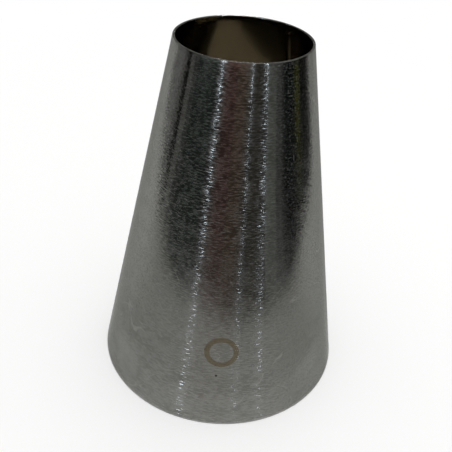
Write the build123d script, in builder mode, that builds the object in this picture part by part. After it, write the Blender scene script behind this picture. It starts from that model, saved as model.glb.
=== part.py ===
from build123d import *

import os
from math import acos, atan2, cos, degrees, hypot, radians, sin

# A large round piping nozzle: thin stainless sheet, rolled into a cone and closed by one welded seam.
# It stands on its wide feed end. The origin is the centre of the plane that it stands on, +Z runs up its
# axis to the mouth, and the front faces -Y. Lengths are in millimetres and angles in degrees.

# The finished cone
height = 47.5  # from the plane that it stands on to the lip of the mouth
feed_diameter = 34.7  # over the outside of the wide end, before its edges are softened
mouth_bore = 16.0  # across the inside of the lip, which gives the icing its width
wall = 0.3  # thickness of the sheet, square to its surface
edge_break = 0.08  # radius that deburring leaves on both edges of each rim
edge_break_share = 0.33  # most of a rim's width that one of those rounds may take

# The seam, where the two straight edges of the rolled blank meet
seam_azimuth = 138.7  # from the front, anticlockwise as seen from above
seam_gap = 0.5  # between the two edges, which stay parallel from end to end
bead_radius = 1.6  # round back of the weld bead, which laps over both edges on the inside
bead_crown = 0.06  # height of the bead above the inside of the sheet; outside it is ground flush
bead_margin = 0.4  # bare length that dressing leaves between the bead and each rim
bead_taper = 1.2  # length over which each end of the bead is dressed down to the sheet

# How far a cutting shape runs past what it cuts
overrun = 1.0

# The lean of the sheet. Its outside passes through the foot of the feed end and its inside through the
# lip of the mouth, one wall apart, and that settles the angle between the sheet and the axis.
feed_radius = feed_diameter / 2
bore_radius = mouth_bore / 2
draw_in = feed_radius - bore_radius
half_angle = acos(wall / hypot(draw_in, height)) - atan2(height, draw_in)
wall_across = wall / cos(half_angle)  # thickness of the sheet along a radius
mouth_radius = bore_radius + wall_across
foot_radius = feed_radius - wall_across  # inside of the feed end
slope_length = hypot(foot_radius - bore_radius, height)
rim_round = min(edge_break, wall_across * edge_break_share)

# Directions at the seam: out from the axis, across the gap, and up the slope of the sheet
seam_direction = radians(seam_azimuth - 90)
out_from_axis = Vector(cos(seam_direction), sin(seam_direction), 0)
across_gap = Vector(-sin(seam_direction), cos(seam_direction), 0)
up_slope = out_from_axis * -sin(half_angle) + Vector(0, 0, cos(half_angle))

# Planes at the seam. The ground plane lies an overrun below the foot. The other two stand on edge in the
# radius through the seam: one is square to the ground, and one leans with the inside of the sheet.
ground_plane = Plane(origin=(0, 0, -overrun), x_dir=out_from_axis, z_dir=(0, 0, 1))
upright_plane = Plane(origin=(0, 0, 0), x_dir=out_from_axis, z_dir=-across_gap)
slope_plane = Plane(origin=out_from_axis * foot_radius, x_dir=up_slope, z_dir=across_gap)

# The ring of sheet as it would be with no gap. Both pieces of the nozzle are cut from it, so they share
# one outside, one inside and the same softened rims.
with BuildPart() as closed_ring:
    with BuildSketch(upright_plane) as wall_section:
        with BuildLine():
            Polyline(
                (feed_radius, 0),
                (mouth_radius, height),
                (bore_radius, height),
                (foot_radius, 0),
                close=True,
            )
        make_face()
        fillet(wall_section.vertices(), radius=rim_round)
    revolve(axis=Axis.Z)

# The straight slot between the two edges of the blank
with BuildPart() as seam_slot:
    with BuildSketch(ground_plane):
        Rectangle(feed_radius + overrun, seam_gap, align=(Align.MIN, Align.CENTER))
    extrude(amount=height + 2 * overrun)

# The space inside the ring, which the bead stands proud into
with BuildPart() as inside_space:
    with BuildSketch(upright_plane):
        with BuildLine():
            Polyline((0, 0), (foot_radius, 0), (bore_radius, height), (0, height), close=True)
        make_face()
    revolve(axis=Axis.Z)

# The round back of the bead: a bar that lies up the slope, sunk into the sheet until only its crown stands
# proud. Its ends taper until they pass under the inside of the sheet, as dressing leaves them.
bar_depth = bead_radius - bead_crown
bar_tip_radius = bead_radius - 2 * bead_crown
bar_end = slope_length - bead_margin
with BuildPart() as bead_bar:
    with BuildSketch(slope_plane):
        with BuildLine():
            Polyline(
                (bead_margin, bar_depth),
                (bead_margin, bar_depth - bar_tip_radius),
                (bead_margin + bead_taper, bar_depth - bead_radius),
                (bar_end - bead_taper, bar_depth - bead_radius),
                (bar_end, bar_depth - bar_tip_radius),
                (bar_end, bar_depth),
                close=True,
            )
        make_face()
    revolve(axis=Axis(slope_plane.from_local_coords((0, bar_depth, 0)), up_slope))

# The crown of the bead: what of that bar reaches inside the ring
with BuildPart() as bead:
    add(inside_space)
    add(bead_bar, mode=Mode.INTERSECT)

# First piece: the sheet, rolled until its two edges stand one gap apart
with BuildPart() as rolled_cone:
    add(closed_ring)
    add(seam_slot, mode=Mode.SUBTRACT)

# Second piece: the weld, whose root fills the slot from edge to edge and carries the bead
with BuildPart() as seam_weld:
    add(closed_ring)
    add(seam_slot, mode=Mode.INTERSECT)
    add(bead)

os.makedirs("parts", exist_ok=True)
rolled_cone.part.label = "rolled_cone"
export_step(rolled_cone.part, "parts/rolled_cone.step")
seam_weld.part.label = "seam_weld"
export_step(seam_weld.part, "parts/seam_weld.step")

print(f"the sheet leans in by {degrees(half_angle):.3f} degrees over a slope of {slope_length:.3f} mm")
for piece in (rolled_cone, seam_weld):
    print(f"{piece.part.label}: {len(piece.part.solids())} solid, {piece.part.volume:.3f} mm3")
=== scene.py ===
from math import cos, hypot, pi, radians, sin, tan

import bpy
import numpy as np
from mathutils import Matrix, Vector


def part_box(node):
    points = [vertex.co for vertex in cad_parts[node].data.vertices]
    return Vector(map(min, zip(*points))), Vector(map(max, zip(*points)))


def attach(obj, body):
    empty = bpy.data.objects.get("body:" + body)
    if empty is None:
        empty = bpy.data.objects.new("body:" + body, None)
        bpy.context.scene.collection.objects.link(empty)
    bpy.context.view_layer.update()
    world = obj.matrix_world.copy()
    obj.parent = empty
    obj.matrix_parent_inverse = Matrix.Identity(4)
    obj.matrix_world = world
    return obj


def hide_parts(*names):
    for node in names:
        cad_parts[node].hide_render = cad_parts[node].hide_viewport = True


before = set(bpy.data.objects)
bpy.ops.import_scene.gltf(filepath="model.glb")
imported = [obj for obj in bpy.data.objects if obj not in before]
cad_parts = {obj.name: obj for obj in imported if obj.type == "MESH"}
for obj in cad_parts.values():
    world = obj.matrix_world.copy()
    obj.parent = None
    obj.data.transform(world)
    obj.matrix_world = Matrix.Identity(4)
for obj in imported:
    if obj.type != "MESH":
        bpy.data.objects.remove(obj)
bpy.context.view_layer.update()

# A large round piping nozzle: thin stainless sheet rolled into a cone and closed by one welded seam.
# It stands on its wide feed end at the origin, its axis is +Z, and the front faces -Y. Shapes and places
# are in metres. The finishes work in millimetres, as the map of the sheet does, and so does every size
# whose name ends in MM. Azimuths are in degrees from the front, anticlockwise as seen from above.
MM = 0.001

# Sizes of the sheet
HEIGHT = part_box("rolled_cone")[1].z
FEED_RADIUS = 17.35 * MM  # outside of the wide end, before its edges are softened
BORE_RADIUS = 8.0 * MM  # inside of the lip
WALL = 0.3 * MM  # square to the sheet
EDGE_ROUND = 0.08 * MM  # on both edges of each rim

# Sizes of the seam
SEAM_AZIMUTH = 138.7
SEAM_GAP = 0.5 * MM
BEAD_ROUND = 1.6 * MM  # radius of the low bead's back, on the inside
BEAD_CROWN = 0.06 * MM
BEAD_MARGIN = 0.4 * MM  # bare length between the bead and each rim
BEAD_TAPER = 1.2 * MM  # length over which each end of the bead is dressed down
BEAD_TIP = 0.02 * MM  # how far the bead's mesh stays from the point where its crown reaches nothing
BEAD_SUNK = WALL / 4  # how far the bead's flat back lies inside the sheet
RIPPLE_MM = 0.25  # from one ripple of the weld to the next

# How finely the surfaces are divided
TURNS_AROUND = 480  # faces round the sheet
TURNS_ALONG = 72  # faces up each slope
ROUND_STEPS = 5  # faces over each softened edge
LIP_SHARES = (0.15, 0.85)  # where two more points lie across the lip, so that its shading stays flat
TURNS_SEAM = 6  # faces across the seam
BEAD_STEPS = 12  # faces over the bead's back
BEAD_ROWS = 40  # faces along the bead between its tapered ends
TAPER_ROWS = 6  # faces along each tapered end

# Outer foot and inner lip stand one wall apart, which settles the lean of the sheet.
DRAW_IN = FEED_RADIUS - BORE_RADIUS
LEAN = np.arccos(WALL / hypot(DRAW_IN, HEIGHT)) - np.arctan2(HEIGHT, DRAW_IN)
WALL_ACROSS = WALL / cos(LEAN)
MEAN_RADIUS = (FEED_RADIUS + BORE_RADIUS) / 2
FOOT_RADIUS = FEED_RADIUS - WALL_ACROSS  # inside of the feed end
DRAW_IN_RATE = (FOOT_RADIUS - BORE_RADIUS) / HEIGHT  # how much the radius shrinks for each unit of height

# Marks on the front: their azimuth and height, and distances over which their edges fade
RING_PLACE = (2.0, 11.5 * MM)
RING_RADIUS_MM = 1.9
RING_EDGE_MM = (0.26, 0.42)  # from the middle of its line
PIT_PLACE = (0.3, 7.9 * MM)
PIT_EDGE_MM = (0.10, 0.20)  # from its middle

# Where the brushing changes, each time from the first number to the second: either round the sheet, counted
# from the azimuth where it is coarsest, or up its section, counted from the foot
BRUSHED_FRONT = -6.0
FLANK_MM = (6.3, 10.3)  # round, to both sides: grit takes the place of the dashes
RIGHT_MM = (6.5, 9.0)  # round, to the right only: the grit and the grain gain contrast
SETTLED_TOP_MM = (31.0, 22.0)  # up: the dashes settle to hairlines below this
SETTLED_FOOT_MM = (11.0, 16.0)  # up: and above this


def softened_corner(corner, before, after, radius, steps=ROUND_STEPS):
    """Points of the arc that rounds a corner. The arc's centre lies on the line that halves the corner's
    angle, at radius / sin(half the angle) from the corner, and its points turn evenly from one edge's
    normal to the other's."""
    back = (before - corner) / np.linalg.norm(before - corner)
    ahead = (after - corner) / np.linalg.norm(after - corner)
    half = np.arccos(np.clip(back @ ahead, -1, 1)) / 2
    halving = (back + ahead) / np.linalg.norm(back + ahead)
    centre = corner + halving * radius / sin(half)
    first = corner + back * radius / tan(half) - centre
    last = corner + ahead * radius / tan(half) - centre
    turn = np.linspace(0, pi - 2 * half, steps + 1)[:, None]
    across = (last - first * cos(pi - 2 * half)) / sin(pi - 2 * half)
    return centre + first * np.cos(turn) + across * np.sin(turn)


def wall_section():
    """The closed section of the sheet as (radius, height) points, up the outside and down the inside, with a
    place for the face that follows each point: 0 on the outside, 1 on a rim and 2 on the inside."""
    corners = np.array([
        (FEED_RADIUS, 0),
        (BORE_RADIUS + WALL_ACROSS, HEIGHT),
        (BORE_RADIUS, HEIGHT),
        (FOOT_RADIUS, 0),
    ])
    before, after = np.roll(corners, 1, axis=0), np.roll(corners, -1, axis=0)
    rounds = [softened_corner(*three, EDGE_ROUND) for three in zip(corners, before, after)]
    share = np.linspace(0, 1, TURNS_ALONG + 1)[1:-1, None]
    outside = rounds[0][-1] + (rounds[1][0] - rounds[0][-1]) * share
    inside = rounds[2][-1] + (rounds[3][0] - rounds[2][-1]) * share
    lip = rounds[1][-1] + (rounds[2][0] - rounds[1][-1]) * np.array(LIP_SHARES)[:, None]
    points = np.concatenate([rounds[0], outside, rounds[1], lip, rounds[2], inside, rounds[3]])
    places = np.concatenate([
        np.full(ROUND_STEPS, 1),
        np.full(TURNS_ALONG, 0),
        np.full(2 * ROUND_STEPS + len(LIP_SHARES) + 1, 1),
        np.full(TURNS_ALONG, 2),
        np.full(ROUND_STEPS + 1, 1),
    ])
    return points, places


def mesh_piece(name, points, faces, maps=None, materials=(), places=None, body="root"):
    """A smooth mesh object at the origin from computed points and faces, riding on a body. Maps holds each
    point's place on the sheet in millimetres, and places the material of each face."""
    mesh = bpy.data.meshes.new(name)
    mesh.from_pydata(points.tolist(), [], [list(face) for face in faces])
    for material in materials:
        mesh.materials.append(material)
    if places is not None:
        mesh.polygons.foreach_set("material_index", np.asarray(places, np.int32))
    mesh.polygons.foreach_set("use_smooth", np.ones(len(mesh.polygons), bool))
    if maps is not None:
        layer = mesh.uv_layers.new(name="sheet_mm")
        corners = np.zeros(len(mesh.loops), np.int32)
        mesh.loops.foreach_get("vertex_index", corners)
        layer.data.foreach_set("uv", np.asarray(maps, np.float32)[corners].ravel())
    mesh.update()
    piece = bpy.data.objects.new(name, mesh)
    bpy.context.scene.collection.objects.link(piece)
    if body:
        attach(piece, body)
    return piece


def grid_faces(rows, columns, wrap_rows=False):
    """Quads of a grid of points numbered row by row; the last row may join the first again."""
    row = np.arange(rows if wrap_rows else rows - 1)[:, None]
    column = np.arange(columns - 1)[None, :]
    here, ahead = row * columns + column, (row + 1) % rows * columns + column
    return np.stack([here, here + 1, ahead + 1, ahead], -1).reshape(-1, 4)


def seam_frame():
    """Unit directions at the seam, seen from above: out from the axis, and across the gap."""
    turn = radians(SEAM_AZIMUTH - 90)
    return np.array([cos(turn), sin(turn)]), np.array([-sin(turn), cos(turn)])


def around_axis(radius, angle):
    """Points at a radius and an angle from the seam, as x and y. Radius and angle broadcast."""
    outward, across = seam_frame()
    return radius[..., None] * (np.cos(angle)[..., None] * outward + np.sin(angle)[..., None] * across)


def carried(points, maps, places):
    """A closed section that is carried along: a grid with a row for each point of the section and a column
    for each place that it is carried to, and a flat face over each end, in the finish of a rim."""
    rows, columns = points.shape[:2]
    faces = grid_faces(rows, columns, wrap_rows=True).tolist()
    first_end = (np.arange(rows) * columns).tolist()
    last_end = (np.arange(rows) * columns + columns - 1)[::-1].tolist()
    face_places = np.concatenate([np.repeat(places, columns - 1), [1, 1]])
    return points.reshape(-1, 3), maps.reshape(-1, 2) / MM, faces + [first_end, last_end], face_places


def ring_part(first, last, steps):
    """A part of the ring of sheet: its section is turned about the axis from a first to a last angle, both
    given in times asin(half gap / r), the angle from the seam's plane to the edge of the gap at radius r,
    plus whole turns. So both ends stay parallel to that plane. The map gives the distance round the cone
    and along the section."""
    section, places = wall_section()
    radius = section[:, :1]
    edge = np.arcsin(SEAM_GAP / 2 / radius)
    start, stop = first[0] * edge + first[1] * 2 * pi, last[0] * edge + last[1] * 2 * pi
    angle = start + (stop - start) * np.linspace(0, 1, steps + 1)[None, :]
    flat = around_axis(np.broadcast_to(radius, angle.shape), angle)
    level = np.broadcast_to(section[:, 1:], angle.shape)
    walked = np.concatenate([[0], np.cumsum(np.linalg.norm(np.diff(section, axis=0), axis=1))])[:, None]
    maps = np.stack([angle * MEAN_RADIUS, np.broadcast_to(walked, angle.shape)], -1)
    return carried(np.concatenate([flat, level[..., None]], -1), maps, places)


def weld_bead():
    """The bead inside the seam is what of a round bar, laid up the slope and sunk into the sheet, stands
    proud of the inside. At s from the middle, the bar's back is at its radius less sqrt(radius^2 - s^2)
    from its crown, and the inside curves away by s^2 / 2r. The crown goes down to nothing half way
    through the taper at each end. A flat back closes the bead inside the sheet."""
    slope = hypot(FOOT_RADIUS - BORE_RADIUS, HEIGHT)
    tapered = BEAD_TAPER / 2
    bare = BEAD_MARGIN + tapered
    length = slope - 2 * bare
    end = np.linspace(BEAD_TIP, tapered, TAPER_ROWS + 1)
    middle = np.linspace(tapered, length - tapered, BEAD_ROWS + 1)[1:-1]
    up = np.concatenate([end, middle, (length - end)[::-1]])
    crown = np.minimum(np.minimum(up, length - up) * BEAD_CROWN / tapered, BEAD_CROWN)
    up = up + bare
    bar = BEAD_ROUND - BEAD_CROWN + crown
    inside = FOOT_RADIUS - up * sin(LEAN)
    half_width = np.sqrt(2 * crown / (1 / bar + 1 / inside))
    share = np.linspace(-1, 1, BEAD_STEPS + 1)[:, None]
    across = share * half_width
    back = BEAD_ROUND - BEAD_CROWN - np.sqrt(bar ** 2 - across ** 2)
    sunk = np.broadcast_to(BEAD_SUNK, (2, len(up)))
    across = np.concatenate([across, across[-1:], across[:1]])
    depth = np.concatenate([back, sunk])
    outward, aside = (np.append(direction, 0) for direction in seam_frame())
    upright = np.array([0, 0, 1])
    up_slope = upright * cos(LEAN) - outward * sin(LEAN)
    square = outward * cos(LEAN) + upright * sin(LEAN)
    points = (
        outward * FOOT_RADIUS + up[None, :, None] * up_slope
        + depth[..., None] * square + across[..., None] * aside
    )
    maps = np.stack([across, np.broadcast_to(up, across.shape)], -1)
    return carried(points, maps, np.full(len(points), 2))


def joined(parts):
    """Several parts as one: the faces of each count on from the points of those before it."""
    points, maps, faces, places = [], [], [], []
    for part_points, part_maps, part_faces, part_places in parts:
        before = sum(len(p) for p in points)
        faces += [[corner + before for corner in face] for face in part_faces]
        points.append(part_points)
        maps.append(part_maps)
        places.append(part_places)
    return np.concatenate(points), np.concatenate(maps), faces, np.concatenate(places)


def rolled_sheet(materials):
    """The rolled sheet, from one edge of the gap right round to the other."""
    points, maps, faces, places = ring_part((1, 0), (-1, 1), TURNS_AROUND)
    return mesh_piece("rolled_sheet", points, faces, maps, materials, places)


def seam_weld(materials):
    """The weld: a root that fills the gap flush with the sheet, and a low bead over it on the inside."""
    points, maps, faces, places = joined([ring_part((-1, 0), (1, 0), TURNS_SEAM), weld_bead()])
    return mesh_piece("weld", points, faces, maps, materials, places)


class Signal:
    """An output of a shader node. Sums and products of signals and numbers add Math nodes."""

    def __init__(self, finish, socket):
        self.finish = finish
        self.socket = socket

    def math(self, operation, *others):
        """Adds a Math node over this signal and others."""
        sockets = dict(enumerate([self, *others]))
        node = self.finish.node("ShaderNodeMath", {"operation": operation}, sockets)
        return Signal(self.finish, node.outputs[0])

    def __add__(self, other):
        return self.math("ADD", other)

    def __sub__(self, other):
        return self.math("SUBTRACT", other)

    def __rsub__(self, other):
        return self.math("MULTIPLY_ADD", -1.0, other)

    def __mul__(self, other):
        return self.math("MULTIPLY", other)

    def __truediv__(self, other):
        return self.math("DIVIDE", other)

    __radd__ = __add__
    __rmul__ = __mul__

    def size(self):
        return self.math("ABSOLUTE")

    def root(self):
        return self.math("SQRT")


class Finish:
    """The nodes of a material, or of the world, while they are being made."""

    def __init__(self, name, owners=bpy.data.materials):
        self.owner = owners.new(name)
        self.owner.use_nodes = True
        self.tree = self.owner.node_tree
        self.tree.nodes.clear()

    def node(self, kind, settings=None, sockets=None):
        """Adds a node of a kind: its settings first, then the value or the link of each socket."""
        node = self.tree.nodes.new(kind)
        for name, value in (settings or {}).items():
            setattr(node, name, value)
        for key, value in (sockets or {}).items():
            if isinstance(value, Signal):
                self.tree.links.new(value.socket, node.inputs[key])
            else:
                node.inputs[key].default_value = value
        return node

    def signal(self, output, kind, settings=None, sockets=None):
        """Adds a node and gives one of its outputs."""
        return Signal(self, self.node(kind, settings, sockets).outputs[output])

    def split(self, vector):
        """The X and the Y of a vector."""
        split = self.node("ShaderNodeSeparateXYZ", None, {"Vector": vector})
        return Signal(self, split.outputs["X"]), Signal(self, split.outputs["Y"])

    def sheet_place(self):
        """Millimetres round the sheet and along its section, from its map."""
        return self.split(self.signal("UV", "ShaderNodeUVMap", {"uv_map": "sheet_mm"}))

    def marks(self, place, long, high, shift=(0.0, 0.0), detail=2.0):
        """Noise from 0 to 1, whose bumps are so many millimetres long round the sheet and so many high. A
        shift takes them from another part of the same noise."""
        around, along = place
        sockets = {"X": around / long + shift[0], "Y": along / high + shift[1]}
        vector = self.signal("Vector", "ShaderNodeCombineXYZ", None, sockets)
        sockets = {"Vector": vector, "Scale": 1.0, "Detail": detail}
        return self.signal(0, "ShaderNodeTexNoise", {"noise_dimensions": "2D"}, sockets)

    def ease(self, value, low, high, start=0.0, end=1.0):
        """A smooth step of a signal from start to end, as it goes from low to high."""
        sockets = {"Value": value, "From Min": low, "From Max": high, "To Min": start, "To Max": end}
        return self.signal("Result", "ShaderNodeMapRange", {"interpolation_type": "SMOOTHSTEP"}, sockets)

    def mix(self, share, first, second):
        """A colour that goes from the first to the second as the share goes from 0 to 1."""
        sockets = {0: share, 6: first, 7: second}
        return self.signal(2, "ShaderNodeMix", {"data_type": "RGBA"}, sockets)

    def bump(self, height, depth):
        """A normal bent by a height signal, where one unit of the signal is a depth in metres."""
        return self.signal("Normal", "ShaderNodeBump", None, {"Height": height, "Distance": depth})

    def tipped(self, slope, sway=None):
        """The surface's normal, tipped up or down by a slope, and aside along the sheet by a sway. A normal
        of (x, y, z) becomes (x - y * sway, y + x * sway, z + slope), made one unit long again."""
        normal = self.signal("Normal", "ShaderNodeNewGeometry")
        change = {"Z": slope}
        if sway is not None:
            x, y = self.split(normal)
            change.update({"X": y * sway * -1.0, "Y": x * sway})
        change = self.signal("Vector", "ShaderNodeCombineXYZ", None, change)
        tipped = self.signal("Vector", "ShaderNodeVectorMath", {"operation": "ADD"}, {0: normal, 1: change})
        return self.signal("Vector", "ShaderNodeVectorMath", {"operation": "NORMALIZE"}, {0: tipped})

    def seen(self):
        """1 where a surface is seen straight, mirrored or through glass, and 0 where it only lights."""
        path = self.node("ShaderNodeLightPath")
        kinds = ("Is Camera Ray", "Is Glossy Ray", "Is Transmission Ray")
        camera, mirrored, through = (Signal(self, path.outputs[kind]) for kind in kinds)
        return (camera + mirrored + through).math("MINIMUM", 1.0)

    def shader(self, kind, sockets):
        """Adds a shader and gives its output."""
        return self.signal(0, kind, None, sockets)

    def surface(self, kind, sockets):
        """Ends the material with a shader and returns the material."""
        self.node("ShaderNodeOutputMaterial", None, {"Surface": self.shader(kind, sockets)})
        return self.owner


# Colours of the steel, as it is seen in even light, apart from two: the inside's warm tint is painted light,
# and the pit's near-black is painted shade
STEEL = (0.29, 0.29, 0.28, 1.0)
STEEL_DULL = (0.235, 0.237, 0.227, 1.0)
STEEL_SCRATCHED = (0.33, 0.33, 0.322, 1.0)
STEEL_CUT = (0.36, 0.35, 0.32, 1.0)
STEEL_NICKED = (0.41, 0.41, 0.40, 1.0)
# The inside's warm tint is painted light: it stands in for the warm light inside the nozzle
STEEL_INSIDE_PAINTED_WARM = (0.305, 0.270, 0.200, 1.0)
ETCHED = (0.19, 0.155, 0.10, 1.0)
# A pit's near-black is painted shade, as the pit has no depth in the mesh
PIT_SHADE = (0.04, 0.04, 0.035, 1.0)
BLACK = (0.0, 0.0, 0.0, 1.0)
WHITE = (1.0, 1.0, 1.0, 1.0)
PAPER = (0.96, 0.96, 0.955, 1.0)
EDGE_TINT = (0.50, 0.50, 0.49, 1.0)  # how much of the edge gloss the brushing leaves

# How the brushing looks. A slope is what a whole unit of noise tips the normal by. Between a pair of edges
# a noise goes from 0 to 1. All the others are shares from 0 to 1, unless they say otherwise.
GRAIN_ALONG_SHEET = 0.25  # in turns: the highlight is stretched across the brushing
DASH_EDGES = (0.42, 0.59)
DASH_CLOUD = 0.3  # how much of the broad clouds the dashes follow
GRIT_EDGES = (-0.10, 0.12)
HAIRLINE_EDGES = (-0.10, 0.10)
MEAN_SCRATCH = 0.48  # how scratched the steel is on average
SCRATCH_SWING = 0.8  # from the least to the most scratched spot of the grit or the hairlines
GRIT_SHARE = 0.75  # how far the grit replaces the dashes on the flanks
HAIRLINE_SHARE = 0.7  # how far the hairlines replace them where they have settled
SCRATCHED_SHARE = 0.55  # how much rough steel shows where it is most scratched
MIRROR_SLOPE = 0.12  # between the scratches
MIRROR_SETTLED = 0.08  # how much less that is where the dashes have settled
SCRATCH_SLOPE = 0.75  # in the scratches
SCRATCH_SETTLED = 0.10  # how much less that is where the dashes have settled
RAISED_SLOPE = 0.38  # added in the scratches that lean up the most
RAISED_EDGES = (0.11, 0.30)
SWAY_SLOPE = 0.16  # aside, on the flanks
NICK_EDGE = 0.007  # the line of a nick ends where its noise is this far from the mean
NICK_RARE = (0.50, 0.60)  # edges of the noise that says where the nicks are
NICK_SHARE = 0.7  # how much of their colour the nicks have
RING_SHARE = 0.8  # how much of its colour the etched ring has
TONE_EDGES = (0.34, 0.66)
TONE_GRAIN = 0.5  # how much fine grain is added to the clouds
TONE_GRAIN_RIGHT = 0.8  # and how much more to the right


def map_place(azimuth, height):
    """Where an azimuth and a height lie on the map of the outside, and how many millimetres of the sheet
    one millimetre round the map is there."""
    angle = radians((azimuth - SEAM_AZIMUTH) % 360)
    radius = FEED_RADIUS - height * DRAW_IN_RATE
    return angle * MEAN_RADIUS / MM, height / cos(LEAN) / MM, radius / MEAN_RADIUS


def distance_to(place, azimuth, height):
    """Millimetres over the outside from a spot on it."""
    centre_around, centre_along, stretch = map_place(azimuth, height)
    around, along = place
    across, up = (around - centre_around) * stretch, along - centre_along
    return (across * across + up * up).root()


def brushed_outside():
    """Dashes run round the cone, under a millimetre long and a fifth high. Between them the steel is
    nearly a mirror. In them it is rougher, and tipped up or down, so that what it mirrors is smeared into
    upright streaks. On the flanks they give way to a finer grit, which also sways aside, and in a band
    below mid height they settle to hairlines. Curled nicks, an etched ring and a pit lie over them."""
    f = Finish("brushed_outside")
    place = f.sheet_place()
    around, along = place
    from_front = around - map_place(BRUSHED_FRONT, 0)[0]
    flank = f.ease(from_front.size(), *FLANK_MM)
    right = f.ease(from_front, *RIGHT_MM)
    settled = f.ease(along, *SETTLED_TOP_MM) * f.ease(along, *SETTLED_FOOT_MM)
    cloud = f.marks(place, long=2.2, high=1.6, detail=3.0)

    # How the marks lean, up or down and aside
    tip = f.marks(place, long=0.75, high=0.15, shift=(5.0, 19.0), detail=0.0) - 0.5
    grit = f.marks(place, long=0.36, high=0.18, shift=(17.0, 3.0), detail=0.0) - 0.5
    aside = f.marks(place, long=0.40, high=0.15, shift=(5.0, 23.0), detail=0.0) - 0.5
    lift = tip + (grit - tip) * flank
    sway = aside * flank * SWAY_SLOPE

    # How scratched each spot is: by dashes at the front, by grit on the flanks, by hairlines below
    dash = f.marks(place, long=0.85, high=0.17, shift=(31.0, 7.0), detail=1.0)
    hairline = f.marks(place, long=0.38, high=0.13, shift=(3.0, 13.0), detail=0.0) - 0.5
    dashed = f.ease(dash + (cloud - 0.5) * DASH_CLOUD, *DASH_EDGES)
    gritty = (f.ease(grit, *GRIT_EDGES) - 0.5) * SCRATCH_SWING * right + MEAN_SCRATCH
    fine = (f.ease(hairline, *HAIRLINE_EDGES) - 0.5) * SCRATCH_SWING + MEAN_SCRATCH
    uneven = dashed + (gritty - dashed) * flank * GRIT_SHARE
    scratch = uneven + (fine - uneven) * settled * HAIRLINE_SHARE

    # Marks that stand alone. A nick is a thin piece of a curl, the line where a broad noise is at its mean.
    curl = (f.marks(place, long=7.0, high=5.0, shift=(3.0, 1.0), detail=1.0) - 0.5).size()
    rare = f.marks(place, long=2.5, high=2.5, shift=(40.0, 0.0), detail=0.0)
    nick = (1.0 - f.ease(curl, 0.0, NICK_EDGE)) * f.ease(rare, *NICK_RARE)
    ring = 1.0 - f.ease((distance_to(place, *RING_PLACE) - RING_RADIUS_MM).size(), *RING_EDGE_MM)
    # The pit has no depth in the mesh, so its near-black colour is painted shade.
    pit_shade = 1.0 - f.ease(distance_to(place, *PIT_PLACE), *PIT_EDGE_MM)

    # Colour, which the marks lay over one another
    grain = f.marks(place, long=0.25, high=0.21, shift=(11.0, 2.0), detail=0.0) - 0.5
    tone = f.ease(cloud + grain * (right * TONE_GRAIN_RIGHT + TONE_GRAIN), *TONE_EDGES)
    bare = f.mix(scratch, f.mix(tone, STEEL_DULL, STEEL), STEEL_SCRATCHED)
    marked = f.mix(ring * RING_SHARE, f.mix(nick * NICK_SHARE, bare, STEEL_NICKED), ETCHED)
    steel = {
        "Base Color": f.mix(pit_shade, marked, PIT_SHADE),
        "Metallic": 1.0,
        "Anisotropic": 1.0,
        "Anisotropic Rotation": GRAIN_ALONG_SHEET,
        "Specular Tint": EDGE_TINT,
    }
    mirror = f.shader("ShaderNodeBsdfPrincipled", {
        **steel,
        "Roughness": f.ease(cloud, 0.3, 0.7, 0.10, 0.14),
        "Normal": f.tipped(tip * (MIRROR_SLOPE - settled * MIRROR_SETTLED), sway),
    })
    raised = f.ease(lift, *RAISED_EDGES) * RAISED_SLOPE
    scratched = f.shader("ShaderNodeBsdfPrincipled", {
        **steel,
        "Roughness": 0.24,
        "Normal": f.tipped(lift * (SCRATCH_SLOPE - settled * SCRATCH_SETTLED) + raised, sway),
    })
    return f.surface("ShaderNodeMixShader", {0: scratch * SCRATCHED_SHARE, 1: mirror, 2: scratched})


def cut_rim():
    """The trimmed edge of the sheet, brighter than its faces and broken up by the file that deburred it."""
    f = Finish("cut_rim")
    place = f.sheet_place()
    grain = f.marks(place, long=0.5, high=0.4)
    filed = f.marks(place, long=0.6, high=2.0, shift=(9.0, 0.0))
    return f.surface("ShaderNodeBsdfPrincipled", {
        "Base Color": f.mix(f.ease(filed, 0.44, 0.56), STEEL_DULL, STEEL_CUT),
        "Metallic": 1.0,
        "Roughness": 0.08,
        "Normal": f.bump(grain, 0.010 * MM),
    })


def smooth_inside():
    """The inside keeps the mill finish of the sheet, smoother than the outside. It is a little warmer too,
    by a painted tint that stands in for the warm light inside it.
    """
    f = Finish("smooth_inside")
    cloud = f.marks(f.sheet_place(), long=3.0, high=5.0)
    return f.surface("ShaderNodeBsdfPrincipled", {
        "Base Color": STEEL_INSIDE_PAINTED_WARM,
        "Metallic": 1.0,
        "Roughness": f.ease(cloud, 0.3, 0.7, 0.08, 0.12),
        "Normal": f.bump(cloud, 0.010 * MM),
    })


def ground_outside():
    """The weld is ground flush along with the sheet, and stays a shade paler and finer than it."""
    f = Finish("ground_outside")
    place = f.sheet_place()
    line = f.marks(place, long=0.7, high=0.07, detail=1.0) - 0.5
    cloud = f.marks(place, long=0.6, high=1.5)
    return f.surface("ShaderNodeBsdfPrincipled", {
        "Base Color": f.mix(f.ease(cloud, 0.35, 0.65), STEEL, STEEL_SCRATCHED),
        "Metallic": 1.0,
        "Roughness": f.ease(cloud, 0.3, 0.7, 0.20, 0.26),
        "Anisotropic": 1.0,
        "Anisotropic Rotation": GRAIN_ALONG_SHEET,
        "Specular Tint": EDGE_TINT,
        "Normal": f.tipped(line * 0.15),
    })


def dressed_bead():
    """The bead keeps the fine ripples of the weld, curved across it and one to each quarter millimetre, and
    dressed nearly flat."""
    f = Finish("dressed_bead")
    place = f.sheet_place()
    around, along = place
    wander = f.marks(place, long=1.2, high=2.5)
    ripple = ((along + around * around * 0.5 + wander * 0.3) * (2 * pi / RIPPLE_MM)).math("SINE")
    return f.surface("ShaderNodeBsdfPrincipled", {
        # The bead takes the inside's colour, with the same painted warm tint
        "Base Color": STEEL_INSIDE_PAINTED_WARM,
        "Metallic": 1.0,
        "Roughness": 0.13,
        "Normal": f.bump(ripple, 0.004 * MM),
    })


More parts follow.
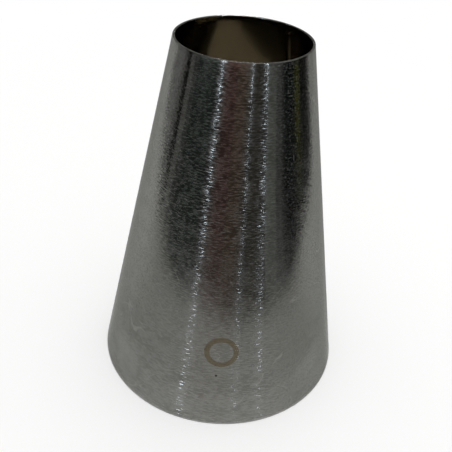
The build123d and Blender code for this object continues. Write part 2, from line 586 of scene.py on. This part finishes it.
def paper_sweep(fade_start, fade_end):
    """A floor of matt white paper. Between two distances from the nozzle it fades to plain white where it is
    seen, as a sweep of paper does that curves up behind its subject. Near the nozzle it keeps the shadow."""
    f = Finish("paper_sweep")
    away = f.signal("Value", "ShaderNodeVectorMath", {"operation": "LENGTH"}, {
        0: f.signal("Object", "ShaderNodeTexCoord"),
    })
    paper = f.shader("ShaderNodeBsdfPrincipled", {
        "Base Color": PAPER, "Roughness": 0.9, "Specular IOR Level": 0.2,
    })
    white = f.shader("ShaderNodeEmission", {"Color": WHITE, "Strength": 1.0})
    fade = f.ease(away, fade_start, fade_end) * f.seen()
    f.owner.cycles.emission_sampling = "NONE"
    return f.surface("ShaderNodeMixShader", {0: fade, 1: paper, 2: white})


def glowing(f, colour, strength):
    """Ends a material as a glow that mirrors nothing."""
    return f.surface("ShaderNodeBsdfPrincipled", {
        "Base Color": BLACK,
        "Specular IOR Level": 0.0,
        "Emission Color": colour,
        "Emission Strength": strength,
    })


def glow(name, colour, strength):
    """An even glow, for the cards that the metal mirrors."""
    return glowing(Finish(name), (*colour, 1.0), strength)


def glow_around(name, front, side, back, strength, turn):
    """A glow that goes from the front's colour to the side's as the azimuth goes through a turn, on both
    sides, and to the back's over a strip behind the nozzle, whose two edges spread by BACK_SPREAD for each
    unit of distance and are soft between two half widths. The glow is painted light that stands in for
    lit floor, and the back's colour over the strip is painted shade of the nozzle."""
    f = Finish(name)
    aside, behind = f.split(f.signal("Object", "ShaderNodeTexCoord"))
    azimuth = aside.math("ARCTAN2", behind * -1.0).size()
    to_side = f.ease(azimuth, *np.radians(turn))
    over_strip = f.ease(aside.size() - behind * BACK_SPREAD, *BACK_HALF_WIDTHS)
    to_back = over_strip * f.ease(azimuth, *np.radians(BACK_TURN))
    colour = f.mix(to_back, f.mix(to_side, (*front, 1.0), (*side, 1.0)), (*back, 1.0))
    return glowing(f, colour, strength)


rim_finish = cut_rim()
sheet = rolled_sheet([brushed_outside(), rim_finish, smooth_inside()])
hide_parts("rolled_cone")
weld = seam_weld([ground_outside(), rim_finish, dressed_bead()])
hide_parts("seam_weld")


# The camera stands where the photograph was taken: close in front and above, rolled a little. Its turns are
# in radians.
CAMERA_PLACE = Vector((0, -73.6 * MM, 71.9 * MM))
CAMERA_DOWN = 0.6076  # below level
CAMERA_YAW = 0.004  # to the left
CAMERA_ROLL = 0.0827
PHOTO_PIXELS = 452  # across the picture
FOCAL_PIXELS = 642.26  # focal length in pixels of the picture
SENSOR_MM = 36.0
CLIP_NEAR = 5 * MM
CLIP_FAR = 50.0

camera = bpy.data.objects.new("camera", bpy.data.cameras.new("camera"))
bpy.context.scene.collection.objects.link(camera)
camera.data.sensor_width = SENSOR_MM
camera.data.lens = SENSOR_MM * FOCAL_PIXELS / PHOTO_PIXELS
camera.data.clip_start = CLIP_NEAR
camera.data.clip_end = CLIP_FAR
camera.matrix_world = (
    Matrix.Translation(CAMERA_PLACE)
    @ Matrix.Rotation(CAMERA_YAW, 4, "Z")
    @ Matrix.Rotation(pi / 2 - CAMERA_DOWN, 4, "X")
    @ Matrix.Rotation(CAMERA_ROLL, 4, "Z")
)
bpy.context.scene.camera = camera


# Sizes of the cards that the metal mirrors
ROOM_FAR = 1.0  # radius that they stand at
ROOM_TOP = 0.9  # height that they reach to
CARD_LIFT = 0.05 * MM  # keeps a card clear of the next one
CARD_STEPS = 24  # faces from one end of a card to the other
NEARLY_PARALLEL = 0.02  # cosine of a ray and the direction that an edge faces, below which they never meet

# The strip behind the nozzle where the grey cards have a colour of their own, dimmer than at the sides:
# painted shade of the nozzle on the floor that they stand for
BACK_SPREAD = 0.55  # how much half of it widens for each unit of distance from the axis
BACK_HALF_WIDTHS = (18 * MM, 14.5 * MM)  # at the axis, between which its edges are soft
BACK_TURN = (80, 96)  # azimuths over which it sets in


def stage_piece(name, points, faces, material):
    """A floor or a card, which isn't part of the nozzle."""
    piece = mesh_piece(name, points, faces, materials=[material], body=None)
    return piece


def mirrored_only(piece):
    """Leaves a card or a lamp for the metal to mirror, out of the camera's and the floor's sight."""
    piece.visible_camera = False
    piece.visible_diffuse = False


def compass(angle):
    """Unit directions on the floor for azimuths in degrees, as x and y."""
    turn = np.radians(angle)
    return np.stack([np.sin(turn), -np.cos(turn)], -1)


def reach(angle, edges):
    """Distance from the axis to the nearest of several straight edges, at each azimuth. An edge is the
    azimuth that it faces and its distance from the axis, and a ray meets it at distance / cosine, unless
    the ray runs nearly along it."""
    facing, distance = np.array(edges).T[:, :, None]
    cosine = np.cos(np.radians(angle[None, :] - facing))
    meets = distance / np.maximum(cosine, NEARLY_PARALLEL)
    return np.where(cosine > NEARLY_PARALLEL, meets, ROOM_FAR).min(0)


def card(name, start, end, path, material, steps=CARD_STEPS):
    """A card round the nozzle, carried from one azimuth to another. Its path is a list of radius and
    height, where a radius may be a number or a list of straight edges that it reaches to."""
    angle = np.linspace(start, end, steps + 1)
    rows = []
    for radius, height in path:
        out = reach(angle, radius) if isinstance(radius, list) else np.full(steps + 1, radius)
        flat = compass(angle) * out[:, None]
        rows.append(np.concatenate([flat, np.full((steps + 1, 1), height)], -1))
    piece = stage_piece(name, np.concatenate(rows), grid_faces(len(path), steps + 1), material)
    piece.visible_shadow = False
    mirrored_only(piece)


# The floor
FLOOR_HALF = 4.0
FADE_START, FADE_END = 0.04, 0.16  # distances from the axis between which it fades to plain white
FLOOR_CORNERS = np.array([(-1, -1, 0), (1, -1, 0), (1, 1, 0), (-1, 1, 0)]) * FLOOR_HALF
stage_piece("floor", FLOOR_CORNERS, [(0, 1, 2, 3)], paper_sweep(FADE_START, FADE_END))

# A grey card lies round the foot for the metal to mirror. Its outline has straight edges, each given as the
# azimuth that it faces and its distance from the axis. A second card over it is a ring close to the foot.
# Both glow with painted light that stands in for lit floor. The ring glows brighter than the grey card
# in front and dimmer behind, as painted light and painted shade close to the foot.
GREY_INNER = 17.6 * MM  # radius of the hole that the nozzle stands in
GREY_EDGES = [
    (3, 58.5 * MM),
    (18, 54 * MM),
    (42, 53.8 * MM),
    (69, 75.5 * MM),
    (-38, 64.5 * MM),
    (-56, 82 * MM),
]
FOOT_RING = 25 * MM  # outer radius of the second card
GREY_SIDES = dict(front=(1.0, 1.0, 0.94), side=(1.54, 1.56, 1.50), back=(1.19, 1.20, 1.17))
FOOT_SIDES = dict(front=(1.0, 1.0, 0.95), side=(1.30, 1.32, 1.27), back=(0.85, 0.85, 0.84))
card(
    "grey_mat", -180, 180, [(GREY_INNER, CARD_LIFT), (GREY_EDGES, CARD_LIFT)],
    glow_around("grey_mat", **GREY_SIDES, strength=0.52, turn=(66, 112)), steps=180,
)
card(
    "foot_ring_light_and_shade", -180, 180, [(GREY_INNER, 2 * CARD_LIFT), (FOOT_RING, 2 * CARD_LIFT)],
    glow_around("foot_ring_light_and_shade", **FOOT_SIDES, strength=0.61, turn=(46, 74)), steps=90,
)

# Dim cards stand round it. Each runs over the floor from the grey card outwards and up to a middle height,
# where a second one goes on with a strength of its own, up and back over the nozzle. A row holds the name,
# the first and last azimuth, the colour, both strengths and the middle height.
LOW, HIGH = 0.12, 0.34
ROOM_CARDS = [
    ("room_far_left", -150, -122, (1.0, 1.0, 0.97), 0.60, 0.18, LOW),
    ("room_left_soft", -122, -116, (1.0, 1.0, 0.97), 0.36, 0.10, LOW),
    ("room_left", -116, -96, (1.0, 1.0, 0.97), 0.24, 0.07, LOW),
    ("room_left_pale", -96, -89, (1.0, 1.0, 0.97), 0.12, 0.035, LOW),
    ("room_left_line", -89, -82, (1.0, 0.98, 0.9), 0.012, 0.006, LOW),
    ("room_left_shelf", -82, -74, (1.0, 1.0, 0.95), 0.15, 0.06, LOW),
    ("room_left_grey", -74, -67, (0.95, 1.0, 0.95), 0.080, 0.10, LOW),
    ("room_left_blue", -67, -34, (0.86, 1.0, 0.93), 0.036, 0.24, LOW),
    ("room_left_near", -34, -26, (1.0, 0.92, 0.88), 0.045, 0.20, LOW),
    ("room_mauve", -26, -19, (1.0, 0.72, 0.66), 0.070, 0.24, LOW),
    ("room_maroon", -19, -4, (1.0, 0.60, 0.54), 0.072, 0.24, LOW),
    ("room_brown", -4, 9, (1.0, 0.71, 0.58), 0.087, 0.26, LOW),
    ("room_tan", 9, 15, (1.0, 0.80, 0.66), 0.080, 0.24, LOW),
    ("room_middle", 15, 26, (1.0, 0.94, 0.84), 0.062, 0.10, LOW),
    ("room_umber", 26, 41, (1.0, 0.92, 0.80), 0.062, 0.05, LOW),
    ("room_grey", 41, 54, (0.95, 1.0, 0.90), 0.165, 0.10, LOW),
    ("room_grey_end", 54, 63, (0.97, 1.0, 0.95), 0.09, 0.20, HIGH),
    ("room_right_soft", 63, 68, (0.97, 1.0, 0.95), 0.028, 0.36, HIGH),
    ("room_right_dark", 68, 88, (0.9, 1.0, 1.0), 0.002, 0.40, HIGH),
    ("room_right_edge", 88, 107, (1.0, 1.0, 0.9), 0.003, 0.45, HIGH),
    ("room_right", 107, 113, (1.0, 1.0, 0.97), 0.03, 0.01, LOW),
    ("room_right_soft_end", 113, 119, (1.0, 1.0, 0.97), 0.16, 0.06, LOW),
    ("room_far_right", 119, 150, (1.0, 1.0, 0.97), 0.56, 0.17, LOW),
]
for name, start, end, colour, strength, strength_above, middle in ROOM_CARDS:
    path = [(GREY_EDGES, CARD_LIFT), (ROOM_FAR, 2 * CARD_LIFT), (ROOM_FAR + CARD_LIFT, middle)]
    path_above = [path[-1], (ROOM_FAR + 2 * CARD_LIFT, ROOM_TOP), (CARD_LIFT, ROOM_TOP)]
    card(name, start, end, path, glow(name, colour, strength))
    card(name + "_above", start, end, path_above, glow(name + "_above", colour, strength_above))

# One card closes the back, and a narrow one lies on the floor to the right.
BACK_LOW = 0.04  # height that the back one starts at
BACK_PATH = [(ROOM_FAR, BACK_LOW), (ROOM_FAR + CARD_LIFT, ROOM_TOP), (CARD_LIFT, ROOM_TOP)]
card("room_back", 150, 210, BACK_PATH, glow("room_back", (1.0, 1.0, 0.97), 0.18))
GREEN_NEAR, GREEN_FAR = 0.16, 0.9  # radii that the narrow one runs between
GREEN_PATH = [(GREEN_NEAR, 3 * CARD_LIFT), (GREEN_FAR, 4 * CARD_LIFT)]
card("green_strip", 86, 93, GREEN_PATH, glow("green_strip", (1.0, 1.0, 0.15), 0.08))


def lamp(name, place, target, size, radiance, colour=(1, 1, 1)):
    """A rectangular lamp that faces a target, of a width, a height and a radiance. Its power is the radiance
    times pi times its area."""
    light = bpy.data.lights.new(name, "AREA")
    light.shape = "RECTANGLE"
    light.size, light.size_y = size
    light.energy = radiance * pi * size[0] * size[1]
    light.color = colour
    piece = bpy.data.objects.new(name, light)
    bpy.context.scene.collection.objects.link(piece)
    facing = (Vector(target) - Vector(place)).to_track_quat("-Z", "Y")
    piece.matrix_world = Matrix.Translation(Vector(place)) @ facing.to_matrix().to_4x4()
    return piece


# Narrow lamps stand round the front for the brushing to catch. A row holds the name, azimuth, width and
# radiance, and the top and foot of all three are level.
STRIP_FAR = 0.95
STRIP_LOW, STRIP_HIGH = 0.30, 0.88
STRIP_COLOUR = (0.80, 0.90, 1.0)
STRIPS = [
    ("strip_left", -29.2, 0.055, 17.5),
    ("strip_middle", 18.0, 0.008, 52),
    ("strip_right", 40.6, 0.010, 66),
]
STRIP_MIDDLE = (STRIP_LOW + STRIP_HIGH) / 2
for name, azimuth, width, radiance in STRIPS:
    x, y = compass(azimuth) * STRIP_FAR
    size = (width, STRIP_HIGH - STRIP_LOW)
    mirrored_only(lamp(name, (x, y, STRIP_MIDDLE), (0, 0, STRIP_MIDDLE), size, radiance, STRIP_COLOUR))

# A broad lamp overhead, a small one that shines down the mouth, and one behind that the far rim catches
lamp("overhead", place=(0.05, 0.15, 0.9), target=(0, 0, 0.02), size=(0.5, 0.5), radiance=1.0)
down = lamp("down_the_mouth", place=(0.088, 0.05, 0.92), target=(0, 0, 0), size=(0.05, 0.05), radiance=510)
down.visible_glossy = False
mirrored_only(
    lamp("strip_back", place=(-0.011, 0.95, 0.333), target=(0, 0, 0.05), size=(0.05, 0.03), radiance=12)
)


def studio_world(light):
    """An even white all round. It lights the scene at a given strength, and is plain white, a strength of
    1, where it is seen or mirrored."""
    f = Finish("studio", bpy.data.worlds)
    strength = f.seen() * (1 - light) + light
    sky = f.shader("ShaderNodeBackground", {"Color": WHITE, "Strength": strength})
    f.node("ShaderNodeOutputWorld", None, {"Surface": sky})
    return f.owner


WORLD_LIGHT = 0.50  # together with the lamps this brings the light on the floor to about 1
bpy.context.scene.world = studio_world(WORLD_LIGHT)
bpy.context.scene.view_settings.view_transform = "Standard"
